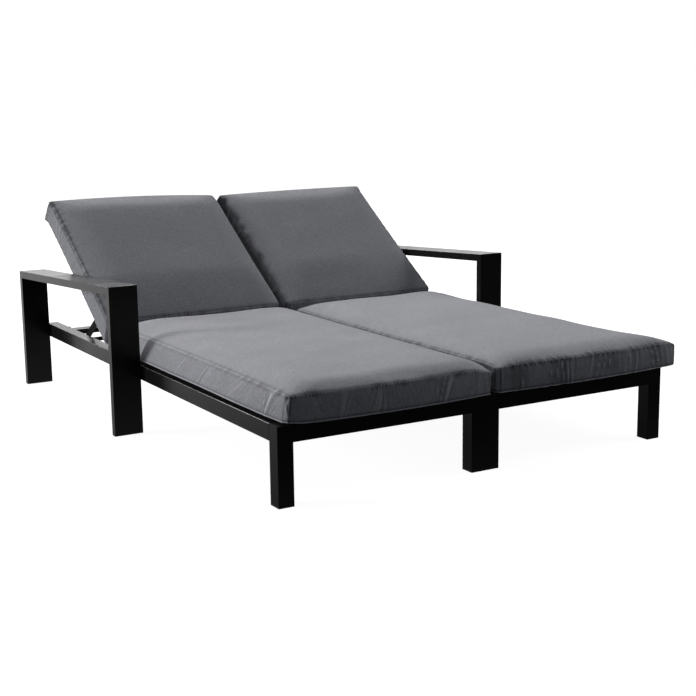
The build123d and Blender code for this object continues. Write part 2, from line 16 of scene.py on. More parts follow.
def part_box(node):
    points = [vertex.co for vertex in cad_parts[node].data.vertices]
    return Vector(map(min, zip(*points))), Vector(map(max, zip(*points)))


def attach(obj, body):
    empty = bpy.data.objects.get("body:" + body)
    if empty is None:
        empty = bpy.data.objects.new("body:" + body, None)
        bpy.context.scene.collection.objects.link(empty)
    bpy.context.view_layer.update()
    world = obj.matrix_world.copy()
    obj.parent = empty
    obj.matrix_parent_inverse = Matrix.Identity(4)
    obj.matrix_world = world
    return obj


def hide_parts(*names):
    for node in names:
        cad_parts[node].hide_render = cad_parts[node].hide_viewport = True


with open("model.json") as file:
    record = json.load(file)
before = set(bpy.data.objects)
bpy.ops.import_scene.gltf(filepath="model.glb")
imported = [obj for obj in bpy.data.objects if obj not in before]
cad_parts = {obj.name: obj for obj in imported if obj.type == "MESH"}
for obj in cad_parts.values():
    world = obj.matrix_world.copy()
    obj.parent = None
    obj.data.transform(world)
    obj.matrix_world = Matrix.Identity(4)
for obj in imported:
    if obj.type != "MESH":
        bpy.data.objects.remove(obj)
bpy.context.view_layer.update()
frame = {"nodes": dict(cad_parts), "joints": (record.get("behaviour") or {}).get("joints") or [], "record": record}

# The camera, solved from the straight edges of the frame in the photograph
IMAGE_SIZE = 696
CAMERA_PLACE = Vector((-2.2847, -4.0710, 1.1271))
CAMERA_TURN = 0.5296
CAMERA_TILT = -0.1928
CAMERA_ROLL = -0.0125
FOCAL_PIXELS = 1319.1
SENSOR = 36.0

# Backrests as they stand in the rest pose
RECLINE = math.radians(33.8)

# Cushion covers: plans, how their sides bow or lean, and how their tops roll up from the seams. A roll
# gives how far in it reaches and how steeply it rises, side by side: near, right, far and left.
BOXING_HEIGHT = 0.083
CORNER_RADIUS = 0.012
CORNER_REACH = 1.6 * CORNER_RADIUS
SLIGHT_BOW = 0.003
FRONT_BOW = 0.022
TOP_BOW = 0.007
SIDE_DRAW = 0.011
SIDE_FULL = 0.010
SEAT_LEAN = 0.033
BACK_LEAN = 0.030
RAIL_FACE = -0.699
# The right seat cushion's front outer corner springs out over the rail
SPRING_OUT = 0.074
SPRING_REACH = 0.07
SPRING_BACK = 0.015
# The back cushions: the gap between them, how much shorter each corner is, left and right, how full the
# left sides are below and at the seam, and how the tops' and the left one's sides bow
BACK_GAP = 0.011
BACK_SHORT = {"left": (0.004, 0.020), "right": (0.023, 0.012)}
BACK_FULL = {"left": (0.010, 0.005), "right": (0.007, -0.009)}
BACK_BOWS = {"left": 0.013, "right": 0.004}
BACK_DRAW = 0.002
SEAT_ROLLS = {
    "left": ((0.15, 5.0), (0.15, 4.0), (0.06, 3.0), (0.15, 4.5)),
    "right": ((0.20, 4.4), (0.15, 4.0), (0.06, 3.0), (0.15, 4.0)),
}
BACK_ROLLS = ((0.22, 1.5), (0.10, 2.0), (0.12, 2.4), (0.12, 2.0))
# Grid: its cells at the seams and in the middle of a panel, and how fast they grow between
FINE_CELL = 0.003
CELL = 0.0095
CELL_GROWTH = 1.45
# Filling: how much of the crown is laid out before it, how far it may push the cloth, how much spare cloth
# there is and how far from the seams, how far in and how much the top is firm, and its slow waves
CROWN_START = 0.97
SEAM_INSET = 0.001
SEAT_PUFF = 0.012
BACK_PUFF = 0.006
FILL_FRAMES = 14
FILL_PRESSURE = 3.0
SPARE_CLOTH = 0.03
EASE_REACH = 0.06
FIRM_REACH = 0.13
FIRM_SHARE = 0.85
WAVES = 7
WAVE_SHARE = 0.1
WAVE_LENGTHS = (0.16, 0.42)
WAVE_FADE = 0.012
# Seams: what counts as the side, a distance that no bell reaches, and the cloth's gathers, folds and welts, with
# the painted light and painted shade of the folds, welts and hollows
SIDE_DEPTH = 0.012
ON_TOP_FROM = 0.0008
RISE_SHARE = 0.6
FAR_OFF = 10.0
NOISE_LAYERS = 5
NOISE_SPREAD = (0.65, 1.6)
PINCH_WAVE = 0.017
PINCH_SLANT = 0.2
PINCH_DEPTH = 0.0015
TUCK_WAVE = 0.043
TUCK_DEPTH = 0.0012
FOLD_WAVE = 0.040
FOLD_LEAN = 0.4
FOLD_MIDDLE = 0.04
FOLD_SHARPNESS = 3.4
FOLD_PUSH = 0.0034
FOLD_SINK = 0.0010
# Painted light on the fold crests and painted shade between them
FOLD_PAINTED_LIGHT = 1.5
FOLD_PAINTED_SHADE = 0.25
LEAN_WAVE = 0.3
PATCH_WAVE = 0.13
PATCH_USUAL = 0.55
PATCH_CHANGE = 0.6
PATCH_MOST = 1.5
SEAM_DEPTH = 0.0024
SEAM_WIDTH = 0.0055
WELT_HEIGHTS = (0.0010, 0.0014, 0.0026)
WELT_WIDTH = 0.0022
# Painted highlights on the welts: how wide along the upper seams, and how far and how strong along the lower ones
WELT_PAINTED_HIGHLIGHT_WIDTH = 0.0042
LOW_WELT_HIGHLIGHT_REACH = 0.004
LOW_WELT_PAINTED_HIGHLIGHT = 0.6
# Painted shade of the hollow: where it starts below the seam and how far down it deepens
PAINTED_HOLLOW_SHADE_FROM = 0.008
PAINTED_HOLLOW_SHADE_FADE = 0.025
EDGE_REACH = 0.035
# Soft lines beside the seams: how far off each lies, how wide it is and how strong. The pinches come first,
# then the painted shade of their ticks, the painted shade of the creases, and what the corners have: a ridge, a
# dip, a painted highlight and a painted shade.
PINCH_BESIDE = (0.0, 0.020, 1.0)
PINCH_BELOW = (0.0, 0.022, 1.0)
PINCH_ABOVE = (0.0, 0.016, 0.5)
PAINTED_TICKS_BESIDE = (0.0, 0.014, 1.0)
PAINTED_TICKS_BELOW = (0.0, 0.010, 1.0)
# Painted shade in the creases beside the seams
PAINTED_SHADE_BESIDE_SEAM = (0.009, 0.0045, 1.0)
PAINTED_SHADE_BELOW_SEAM = (0.007, 0.004, 0.8)
PAINTED_SHADE_ABOVE_SEAM = (0.007, 0.003, 0.6)
CORNER_RIDGE = (0.0, 0.0025, 0.0016)
CORNER_DIP = (0.0, 0.008, 0.0012)
# Painted highlight and painted shade at the corners' welts
CORNER_PAINTED_HIGHLIGHT = (0.0, 0.0042, 1.2)
CORNER_PAINTED_SHADE = (0.011, 0.0045, 0.9)
# Painted shade and painted light of the pinches' ticks: from where they darken and lighten the cloth's colour, and
# how much
TICK_PAINTED_SHADE_FROM = 0.45
TICK_PAINTED_SHADE = 1.8
TICK_PAINTED_LIGHT_FROM = 0.3
TICK_PAINTED_LIGHT = 0.9


def joint(name):
    """The frame's joint of that name."""
    return next(item for item in frame["joints"] if item["name"] == name)


def place_camera():
    """Stands the camera where the photograph was taken from."""
    data = bpy.data.cameras.new("camera")
    data.sensor_width = SENSOR
    data.lens = FOCAL_PIXELS * SENSOR / IMAGE_SIZE
    data.clip_end = 60
    camera = bpy.data.objects.new("camera", data)
    bpy.context.scene.collection.objects.link(camera)
    turn = Matrix.Rotation(-CAMERA_TURN, 4, "Z")
    tilt = Matrix.Rotation(math.pi / 2 + CAMERA_TILT, 4, "X")
    roll = Matrix.Rotation(CAMERA_ROLL, 4, "Z")
    camera.matrix_world = Matrix.Translation(CAMERA_PLACE) @ turn @ tilt @ roll
    bpy.context.scene.camera = camera


place_camera()


# Shader helpers
class Nodes:
    """Adds nodes to a tree and joins them, each laid out to the right of the last."""

    def __init__(self, tree):
        self.tree = tree
        self.column = 0

    def add(self, kind, **settings):
        """A new node with these settings."""
        node = self.tree.nodes.new(kind)
        node.location = (self.column * 190, 0)
        self.column += 1
        for name, value in settings.items():
            setattr(node, name, value)
        return node

    def feed(self, socket, value):
        """Links another node's output to the socket, or sets its plain value."""
        if isinstance(value, bpy.types.NodeSocket):
            self.tree.links.new(value, socket)
        elif value is not None:
            socket.default_value = value

    def math(self, operation, first, second=None, third=None, clamp=False):
        """The result of a Math node."""
        node = self.add("ShaderNodeMath", operation=operation, use_clamp=clamp)
        for socket, value in zip(node.inputs, (first, second, third)):
            self.feed(socket, value)
        return node.outputs[0]

    def noise(self, vector, scale, detail=2.0, roughness=0.5):
        """The value of a noise texture."""
        node = self.add("ShaderNodeTexNoise")
        self.feed(node.inputs["Vector"], vector)
        self.feed(node.inputs["Scale"], scale)
        node.inputs["Detail"].default_value = detail
        node.inputs["Roughness"].default_value = roughness
        return node.outputs["Fac"]

    def stretch(self, value, low, high, to_low=0.0, to_high=1.0):
        """A value mapped from one range to another, and kept inside it."""
        node = self.add("ShaderNodeMapRange")
        for socket, item in zip(node.inputs, (value, low, high, to_low, to_high)):
            self.feed(socket, item)
        return node.outputs["Result"]

    def mix_colour(self, factor, first, second):
        """A mix of two colours."""
        node = self.add("ShaderNodeMix", data_type="RGBA")
        self.feed(node.inputs["Factor"], factor)
        self.feed(node.inputs["A"], first)
        self.feed(node.inputs["B"], second)
        return node.outputs["Result"]

    def split(self, vector):
        """The three parts of a vector."""
        node = self.add("ShaderNodeSeparateXYZ")
        self.feed(node.inputs[0], vector)
        return node.outputs


def make_group(name, inputs, outputs):
    """A shader node group with named sockets; returns it, its nodes, its inputs and its outputs."""
    tree = bpy.data.node_groups.new(name, "ShaderNodeTree")
    for label, kind, default in inputs:
        socket = tree.interface.new_socket(name=label, in_out="INPUT", socket_type=kind)
        if default is not None:
            socket.default_value = default
    for label, kind in outputs:
        tree.interface.new_socket(name=label, in_out="OUTPUT", socket_type=kind)
    nodes = Nodes(tree)
    given = nodes.add("NodeGroupInput")
    taken = tree.nodes.new("NodeGroupOutput")
    taken.location = (3200, 0)
    return tree, nodes, given.outputs, taken.inputs


PEEL = 420.0
GRIT = 1900.0
GLOSS_PATCHES = 9.0


def make_powder_grain():
    """Orange peel and fine grit of a powder coat, with slow changes of gloss."""
    tree, nodes, given, taken = make_group(
        "powder_grain",
        (("Place", "NodeSocketVector", None), ("Grit", "NodeSocketFloat", 1.0)),
        (("Height", "NodeSocketFloat"), ("Gloss change", "NodeSocketFloat"), ("Shade", "NodeSocketFloat")),
    )
    peel = nodes.noise(given["Place"], PEEL, 1.0)
    grit = nodes.noise(given["Place"], GRIT, 2.0, 0.7)
    grit = nodes.math("MULTIPLY", grit, given["Grit"])
    height = nodes.math("ADD", nodes.math("MULTIPLY", peel, 0.6), grit)
    slow = nodes.noise(given["Place"], GLOSS_PATCHES, 3.0)
    nodes.feed(taken["Height"], height)
    nodes.feed(taken["Gloss change"], nodes.stretch(slow, 0.3, 0.7, -0.05, 0.05))
    nodes.feed(taken["Shade"], nodes.stretch(grit, 0.3, 0.7))
    return tree


YARN_WIDTH = 0.0011
YARN_ACROSS = 900.0
YARN_STREAK = 60.0
CLOUDS = 26.0
SLUBS = 170.0
SPECKLES = 330.0


def make_weave():
    """Plain weave of two-tone yarns, laid on a piece from its own three sides."""
    tree, nodes, given, taken = make_group(
        "weave",
        (
            ("Place", "NodeSocketVector", None),
            ("Normal", "NodeSocketVector", None),
            ("Yarn", "NodeSocketFloat", YARN_WIDTH),
        ),
        (("Height", "NodeSocketFloat"), ("Yarn tone", "NodeSocketFloat"), ("Cloud", "NodeSocketFloat")),
    )
    frequency = nodes.math("DIVIDE", math.pi, given["Yarn"])
    scaled = nodes.add("ShaderNodeVectorMath", operation="SCALE")
    nodes.feed(scaled.inputs[0], given["Place"])
    nodes.feed(scaled.inputs["Scale"], frequency)
    place = nodes.split(scaled.outputs[0])
    facing = nodes.split(given["Normal"])
    waves = [nodes.math("SINE", place[axis]) for axis in range(3)]
    weights = [nodes.math("POWER", nodes.math("ABSOLUTE", facing[axis]), 6.0) for axis in range(3)]
    total = nodes.math("ADD", nodes.math("ADD", weights[0], weights[1]), weights[2])
    total = nodes.math("ADD", total, 0.001)
    height = None
    for axis in range(3):
        crossing = nodes.math("MULTIPLY", waves[(axis + 1) % 3], waves[(axis + 2) % 3])
        share = nodes.math("DIVIDE", nodes.math("MULTIPLY", crossing, weights[axis]), total)
        height = share if height is None else nodes.math("ADD", height, share)
    streaks = []
    for stretch_axis in range(3):
        drawn = nodes.add("ShaderNodeMapping")
        nodes.feed(drawn.inputs["Vector"], given["Place"])
        scale = [YARN_ACROSS] * 3
        scale[stretch_axis] = YARN_STREAK
        drawn.inputs["Scale"].default_value = scale
        streaks.append(nodes.noise(drawn.outputs[0], 1.0, 1.0))
    tone = nodes.math("ADD", nodes.math("ADD", streaks[0], streaks[1]), streaks[2])
    cloud = nodes.noise(given["Place"], CLOUDS, 4.0, 0.6)
    slubs = nodes.noise(given["Place"], SLUBS, 2.0, 0.6)
    speckle = nodes.noise(given["Place"], SPECKLES, 2.0, 0.6)
    for grain in (speckle, slubs):
        tone = nodes.math("ADD", tone, nodes.math("MULTIPLY", grain, 1.6))
    uneven = nodes.math("MULTIPLY", slubs, 2.2)
    nodes.feed(taken["Height"], nodes.math("ADD", nodes.math("ABSOLUTE", height), uneven))
    nodes.feed(taken["Yarn tone"], nodes.stretch(tone, 2.55, 3.65))
    nodes.feed(taken["Cloud"], nodes.stretch(cloud, 0.3, 0.7))
    return tree


POWDER_GRAIN = make_powder_grain()
WEAVE = make_weave()


def start_material(name):
    """A new material with a Principled shader; returns it, its nodes and the shader."""
    material = bpy.data.materials.new(name)
    material.use_nodes = True
    tree = material.node_tree
    tree.nodes.clear()
    nodes = Nodes(tree)
    shader = tree.nodes.new("ShaderNodeBsdfPrincipled")
    shader.location = (3000, 200)
    output = tree.nodes.new("ShaderNodeOutputMaterial")
    output.location = (3400, 200)
    tree.links.new(shader.outputs[0], output.inputs["Surface"])
    return material, nodes, shader


def place_group(nodes, tree, **values):
    """Puts a node group into a material, fed with its object's own coordinates."""
    coordinates = nodes.add("ShaderNodeTexCoord")
    group = nodes.add("ShaderNodeGroup", node_tree=tree)
    nodes.feed(group.inputs["Place"], coordinates.outputs["Object"])
    if "Normal" in group.inputs:
        nodes.feed(group.inputs["Normal"], coordinates.outputs["Normal"])
    for label, value in values.items():
        nodes.feed(group.inputs[label.replace("_", " ")], value)
    return group.outputs


def add_bump(nodes, shader, height, distance, strength=1.0):
    """Feeds a height into the shader's normal."""
    bump = nodes.add("ShaderNodeBump")
    bump.inputs["Distance"].default_value = distance
    bump.inputs["Strength"].default_value = strength
    nodes.feed(bump.inputs["Height"], height)
    nodes.feed(shader.inputs["Normal"], bump.outputs[0])


def make_coated_metal(name, dark, light, roughness, specular, grit=1.0):
    """Matt black coat on metal."""
    material, nodes, shader = start_material(name)
    grain = place_group(nodes, POWDER_GRAIN, Grit=grit)
    colour = nodes.mix_colour(grain["Shade"], (*dark, 1), (*light, 1))
    nodes.feed(shader.inputs["Base Color"], colour)
    nodes.feed(shader.inputs["Roughness"], nodes.math("ADD", grain["Gloss change"], roughness))
    shader.inputs["Specular IOR Level"].default_value = specular
    add_bump(nodes, shader, grain["Height"], 0.00003, 0.25)
    return material


YARN_DARK = (0.132, 0.134, 0.147, 1)
YARN_LIGHT = (0.230, 0.231, 0.247, 1)
CLOUD_TINT = (0.135, 0.136, 0.147, 1)
CLOUD_SHARE = 0.22
# How far the painted shade darkens the cloth's colour and how far the painted highlights lighten it
PAINTED_SHADE_DEEPEST = 0.35
PAINTED_LIGHT_BRIGHTEST = 1.65


def make_cushion_cloth():
    """Mid-grey woven outdoor cloth with a faint two-tone yarn, a soft nap, and painted shade and painted
    highlights from its seams and folds.
    """
    material, nodes, shader = start_material("grey_outdoor_cloth")
    weave = place_group(nodes, WEAVE, Yarn=YARN_WIDTH)
    base = nodes.mix_colour(weave["Yarn tone"], YARN_DARK, YARN_LIGHT)
    clouded = nodes.mix_colour(nodes.math("MULTIPLY", weave["Cloud"], CLOUD_SHARE), base, CLOUD_TINT)
    # Painted shade and painted highlights: a point attribute from the seams and folds scales the cloth's colour,
    # darker in creases and hollows, lighter on welts and fold crests
    painted_shade = nodes.add("ShaderNodeAttribute", attribute_name="painted_shade").outputs["Fac"]
    painted_shade_scaled = nodes.add("ShaderNodeVectorMath", operation="SCALE")
    nodes.feed(painted_shade_scaled.inputs[0], clouded)
    nodes.feed(painted_shade_scaled.inputs["Scale"], nodes.stretch(painted_shade, -1.0, 1.0, PAINTED_SHADE_DEEPEST, PAINTED_LIGHT_BRIGHTEST))
    nodes.feed(shader.inputs["Base Color"], painted_shade_scaled.outputs[0])
    nodes.feed(shader.inputs["Roughness"], nodes.stretch(weave["Height"], 0.8, 2.4, 0.95, 0.85))
    shader.inputs["Specular IOR Level"].default_value = 0.2
    shader.inputs["Sheen Weight"].default_value = 0.12
    shader.inputs["Sheen Roughness"].default_value = 0.4
    add_bump(nodes, shader, weave["Height"], 0.0003, 0.6)
    return material


def make_plastic(name, colour, roughness):
    """Moulded plastic or rubber with a fine spark texture."""
    material, nodes, shader = start_material(name)
    grain = place_group(nodes, POWDER_GRAIN, Grit=0.6)
    lighter = [channel * 1.5 for channel in colour]
    nodes.feed(shader.inputs["Base Color"], nodes.mix_colour(grain["Shade"], (*colour, 1), (*lighter, 1)))
    nodes.feed(shader.inputs["Roughness"], nodes.math("ADD", grain["Gloss change"], roughness))
    shader.inputs["Specular IOR Level"].default_value = 0.3
    add_bump(nodes, shader, grain["Height"], 0.00005, 0.4)
    return material


def make_plated_steel():
    """Zinc-plated steel of bolts, screws and pins."""
    material, nodes, shader = start_material("zinc_plated_steel")
    grain = place_group(nodes, POWDER_GRAIN, Grit=0.8)
    nodes.feed(
        shader.inputs["Base Color"],
        nodes.mix_colour(grain["Shade"], (0.30, 0.30, 0.31, 1), (0.46, 0.46, 0.47, 1)),
    )
    shader.inputs["Metallic"].default_value = 1.0
    nodes.feed(shader.inputs["Roughness"], nodes.math("ADD", grain["Gloss change"], 0.38))
    add_bump(nodes, shader, grain["Height"], 0.00003, 0.3)
    return material


CLOTH = make_cushion_cloth()
FINISHES = {
    "frame_black": make_coated_metal("black_powder_coat", (0.0042,) * 3, (0.0065,) * 3, 0.22, 0.16),
    "mechanism_black": make_coated_metal("black_painted_steel", (0.003,) * 3, (0.005,) * 3, 0.50, 0.05, 0.7),
    "grey_fabric": CLOTH,
    "black_plastic": make_plastic("black_plastic", (0.006, 0.006, 0.006), 0.55),
    "black_rubber": make_plastic("black_rubber", (0.008, 0.008, 0.008), 0.75),
    "bolt_steel": make_plated_steel(),
}
SLOT_OF = {item["node"]: item["material_slot"] for item in frame["record"]["subparts"]}


def dress_frame():
    """Gives every piece of the frame the finish of its slot."""
    for name, piece in frame["nodes"].items():
        piece.data.materials.clear()
        piece.data.materials.append(FINISHES[SLOT_OF[name]])


dress_frame()


# Cushions
def graded_steps(length):
    """Places from 0 to 1 along a length: close together at both ends, even in the middle."""
    steps = [0.0]
    step = FINE_CELL
    while step < CELL and steps[-1] + step < length / 2:
        steps.append(steps[-1] + step)
        step *= CELL_GROWTH
    middle = length - 2 * steps[-1]
    count = max(1, round(middle / CELL))
    near = np.array(steps)
    even = near[-1] + middle * np.arange(1, count) / count
    places = np.concatenate([near, even, (length - near)[::-1]])
    return places / length


def bow_depth(bow, places):
    """How far a side lies to the left of the straight line: an arc, or a flare at its first corner."""
    if isinstance(bow, tuple):
        size, reach = bow
        return size * (1 - places) * (1 - np.exp(-places / reach))
    return bow * 4 * places * (1 - places)


def bowed_line(start, end, bow, places):
    """Points along a bowed side between two corners."""
    start = np.array(start, float)
    end = np.array(end, float)
    across = (end - start) / np.linalg.norm(end - start)
    left = np.array([-across[1], across[0]])
    places = places[:, None]
    return start + (end - start) * places + left * bow_depth(bow, places)


def round_off(outline, corners):
    """Pulls an outline's points near each corner onto an arc that cuts the corner."""
    rounded = outline.copy()
    middle = np.mean(corners, axis=0)
    for corner in corners:
        distance = np.linalg.norm(outline - corner, axis=1)
        near = distance < CORNER_REACH
        pull = CORNER_RADIUS * (1 - math.sqrt(0.5)) * (1 - distance[near] / CORNER_REACH) ** 2
        rounded[near] += np.sign(middle - corner) * pull[:, None]
    return rounded


class Cover:
    """A boxed cushion cover in its own frame: x across, y along, z up from its underside."""

    def __init__(self, low_corners, seam_corners, bows, crown, rolls):
        self.low_corners = low_corners
        self.seam_corners = seam_corners
        self.bows = bows
        self.crown = crown
        self.rolls = rolls
        width = abs(seam_corners[1][0] - seam_corners[0][0])
        length = abs(seam_corners[3][1] - seam_corners[0][1])
        self.across = graded_steps(width)
        self.along = graded_steps(length)
        self.up = graded_steps(BOXING_HEIGHT)
        self.build()

    def sides(self, corners):
        """The four edges of the cover's plan: near, right, far and left, each from its first corner."""
        middle = np.mean(np.array(corners, float), axis=0)
        inner = [np.array(c) - np.sign(np.array(c) - middle) * SEAM_INSET for c in corners]
        near = bowed_line(inner[0], inner[1], self.bows[0], self.across)
        right = bowed_line(inner[1], inner[2], self.bows[1], self.along)
        far = bowed_line(inner[2], inner[3], self.bows[2], self.across)[::-1]
        left = bowed_line(inner[3], inner[0], self.bows[3], self.along)[::-1]
        return [round_off(side, inner) for side in (near, right, far, left)]

    def panel(self, sides):
        """A panel's points, spread evenly between its four edges."""
        near, right, far, left = sides
        s = self.across[:, None, None]
        t = self.along[None, :, None]
        plain = (
            (1 - s) * (1 - t) * near[0] + s * (1 - t) * near[-1] + (1 - s) * t * far[0] + s * t * far[-1]
        )
        return (
            (1 - t) * near[:, None] + t * far[:, None] + (1 - s) * left[None] + s * right[None] - plain
        )

    def build(self):
        """Lays out the vertices and faces, and keeps what each vertex is."""
        top = self.panel(self.sides(self.seam_corners))
        bottom = self.panel(self.sides(self.low_corners))
        columns, rows = top.shape[:2]
        points = []
        index_top = np.arange(columns * rows).reshape(columns, rows)
        points.append(np.concatenate([top.reshape(-1, 2), self.domed(top)], axis=1))
        index_bottom = index_top + columns * rows
        points.append(np.concatenate([bottom.reshape(-1, 2), np.zeros((columns * rows, 1))], axis=1))
        loop_top = self.loop(index_top)
        loop_bottom = self.loop(index_bottom)
        flat = np.concatenate(points)
        rings = [loop_bottom]
        count = 2 * columns * rows
        for share in self.up[1:-1]:
            ring = flat[loop_bottom] * (1 - share) + flat[loop_top] * share
            points.append(ring)
            rings.append(np.arange(count, count + len(ring)))
            count += len(ring)
        rings.append(loop_top)
        self.points = np.concatenate(points)
        faces = []
        for grid, flip in ((index_top, False), (index_bottom, True)):
            corners = (grid[:-1, :-1], grid[1:, :-1], grid[1:, 1:], grid[:-1, 1:])
            quads = np.stack(corners, axis=-1).reshape(-1, 4)
            faces.append(quads[:, ::-1] if flip else quads)
        for lower, upper in zip(rings[:-1], rings[1:]):
            faces.append(np.stack([lower, np.roll(lower, -1), np.roll(upper, -1), upper], axis=-1))
        self.faces = np.concatenate(faces)
        self.loop_top = loop_top
        self.loop_bottom = loop_bottom

    def ease_shares(self, points):
        """How much spare cloth each vertex has: all of it on the boxing, less and less up the top."""
        shares = np.clip(1 - self.nearest_side(points) / EASE_REACH, 0, 1)
        shares[points[:, 2] <= 0.0] = 0.0
        return shares

    def nearest_side(self, points):
        """How far inside the plan each point lies."""
        return np.min([inward for along, inward, length in self.side_places(points)], axis=0)

    def side_places(self, points):
        """For each side of the plan: how far along it and inside it each point lies, and its length."""
        share = np.clip(points[:, 2] / BOXING_HEIGHT, 0, 1)[:, None]
        places = []
        for number in range(4):
            ends = []
            for corner in (number, (number + 1) % 4):
                low = np.array(self.low_corners[corner], float)
                high = np.array(self.seam_corners[corner], float)
                ends.append(low * (1 - share) + high * share)
            start, end = ends
            way = end - start
            length = np.linalg.norm(way, axis=1)
            way = way / length[:, None]
            offset = points[:, :2] - start
            along = (offset * way).sum(axis=1)
            left = np.stack([-way[:, 1], way[:, 0]], axis=1)
            part = np.clip(along / length, 0, 1)
            inward = (offset * left).sum(axis=1) - bow_depth(self.bows[number], part)
            places.append((along, np.maximum(inward, 0.0), length))
        return places

    def domed(self, top):
        """Heights of the top panel: it rolls up from the seam and is nearly flat in the middle."""
        near = np.linalg.norm(top - top[:, :1], axis=2)
        far = np.linalg.norm(top - top[:, -1:], axis=2)
        left = np.linalg.norm(top - top[:1], axis=2)
        right = np.linalg.norm(top - top[-1:], axis=2)
        rise = np.ones(top.shape[:2])
        for distance, (reach, fall) in zip((near, right, far, left), self.rolls):
            share = np.clip(distance / reach, 0, 1)
            rise *= 1 - (1 - share) ** fall
        return BOXING_HEIGHT + CROWN_START * self.crown * rise.reshape(-1, 1)

    @staticmethod
    def loop(grid):
        """A panel's edge, once round, starting at its first corner."""
        return np.concatenate([grid[:-1, 0], grid[-1, :-1], grid[:0:-1, -1], grid[0, :0:-1]])


def mesh_from(name, points, faces):
    """A smooth-shaded mesh object."""
    mesh = bpy.data.meshes.new(name)
    mesh.vertices.add(len(points))
    mesh.vertices.foreach_set("co", np.ascontiguousarray(points, np.float32).ravel())
    mesh.loops.add(faces.size)
    mesh.loops.foreach_set("vertex_index", np.ascontiguousarray(faces, np.int32).ravel())
    mesh.polygons.add(len(faces))
    mesh.polygons.foreach_set("loop_start", np.arange(0, faces.size, 4, dtype=np.int32))
    mesh.polygons.foreach_set("use_smooth", np.ones(len(faces), bool))
    mesh.update(calc_edges=True)
    mesh.validate()
    piece = bpy.data.objects.new(name, mesh)
    bpy.context.scene.collection.objects.link(piece)
    return piece


def read_points(mesh):
    """A mesh's vertices as an array."""
    co = np.zeros(len(mesh.vertices) * 3, np.float32)
    mesh.vertices.foreach_get("co", co)
    return co.reshape(-1, 3).astype(float)


def blow_up(piece, cover, cap):
    """Fills the cover by cloth simulation between its fixed seams and returns its vertices."""
    rest = read_points(piece.data)
    seams = piece.vertex_groups.new(name="seams")
    seam_points = np.concatenate([cover.loop_top, cover.loop_bottom])
    seams.add([int(i) for i in seam_points], 1.0, "REPLACE")
    easy = piece.vertex_groups.new(name="easy")
    for number, share in enumerate(cover.ease_shares(rest)):
        if share > 0.01:
            easy.add([number], float(share), "REPLACE")
    cloth = piece.modifiers.new("cloth", "CLOTH")
    settings = cloth.settings
    settings.quality = 5
    settings.mass = 0.12
    settings.tension_stiffness = 30
    settings.compression_stiffness = 30
    settings.shear_stiffness = 10
    settings.bending_stiffness = 0.3
    settings.use_pressure = True
    settings.uniform_pressure_force = FILL_PRESSURE
    settings.effector_weights.gravity = 0.0
    settings.vertex_group_mass = "seams"
    settings.vertex_group_shrink = "easy"
    settings.shrink_min = 0.0
    settings.shrink_max = -SPARE_CLOTH
    cloth.point_cache.frame_start = 1
    cloth.point_cache.frame_end = FILL_FRAMES
    scene = bpy.context.scene
    for number in range(1, FILL_FRAMES + 1):
        scene.frame_set(number)
    filled = piece.evaluated_get(bpy.context.evaluated_depsgraph_get())
    blown = read_points(filled.data)
    piece.modifiers.remove(cloth)
    piece.vertex_groups.clear()
    scene.frame_set(1)
    move = blown - rest
    size = np.linalg.norm(move, axis=1)
    over = np.maximum(size / cap, 1.0)
    firm = np.clip(cover.nearest_side(rest) / FIRM_REACH, 0, 1)
    calm = 1 - FIRM_SHARE * firm * firm * (3 - 2 * firm)
    return rest + move * (calm / over)[:, None]


def smooth_noise(places, wave, seed):
    """Even, repeatable noise along a line, between about -1 and 1."""
    random = np.random.default_rng(seed)
    total = np.zeros_like(places)
    for layer in range(NOISE_LAYERS):
        length = wave * random.uniform(*NOISE_SPREAD)
        total += np.sin(2 * math.pi * places / length + random.uniform(0, 2 * math.pi))
    return total / math.sqrt(NOISE_LAYERS)


def bell(distance, width):
    """One at the line itself, falling smoothly to nothing over the width."""
    return np.exp(-((distance / width) ** 2))


def soft_line(distance, place, width, strength):
    """A line at a place beside the seam, as strong as that, falling off to both sides."""
    return strength * bell(distance - place, width)


def seam_distances(height, inward):
    """Which points are on one side's boxing, and how far each lies beside, below and above the seams."""
    on_top = height > BOXING_HEIGHT - ON_TOP_FROM
    on_side = (inward < SIDE_DEPTH) & ~on_top
    rise = np.maximum(height - BOXING_HEIGHT, 0)
    beside = np.where(on_top, np.hypot(inward, RISE_SHARE * rise), FAR_OFF)
    below = np.where(on_side, BOXING_HEIGHT - height, FAR_OFF)
    above = np.where(on_side, np.abs(height), FAR_OFF)
    return on_side, beside, below, above


def gather_side(along, inward, strength, distances, seed):
    """Pinches the cloth beside one side's seams; returns the push and the painted shade and light of the pinches'
    ticks.
    """
    beside, below, above = distances
    fine = smooth_noise(along + PINCH_SLANT * inward, PINCH_WAVE, seed)
    coarse = smooth_noise(along, TUCK_WAVE, seed + 7)
    pinch = -np.abs(fine) * PINCH_DEPTH - np.maximum(coarse, 0) * TUCK_DEPTH
    near = soft_line(beside, *PINCH_BESIDE) + soft_line(below, *PINCH_BELOW) + soft_line(above, *PINCH_ABOVE)
    # Painted shade and painted light of the ticks beside the seams
    ticks = TICK_PAINTED_SHADE * np.clip(np.abs(fine) - TICK_PAINTED_SHADE_FROM, 0, 1)
    ticks -= TICK_PAINTED_LIGHT * np.maximum(TICK_PAINTED_LIGHT_FROM - np.abs(fine), 0)
    dark = strength * ticks * (soft_line(beside, *PAINTED_TICKS_BESIDE) + soft_line(below, *PAINTED_TICKS_BELOW))
    return strength * pinch * near, dark


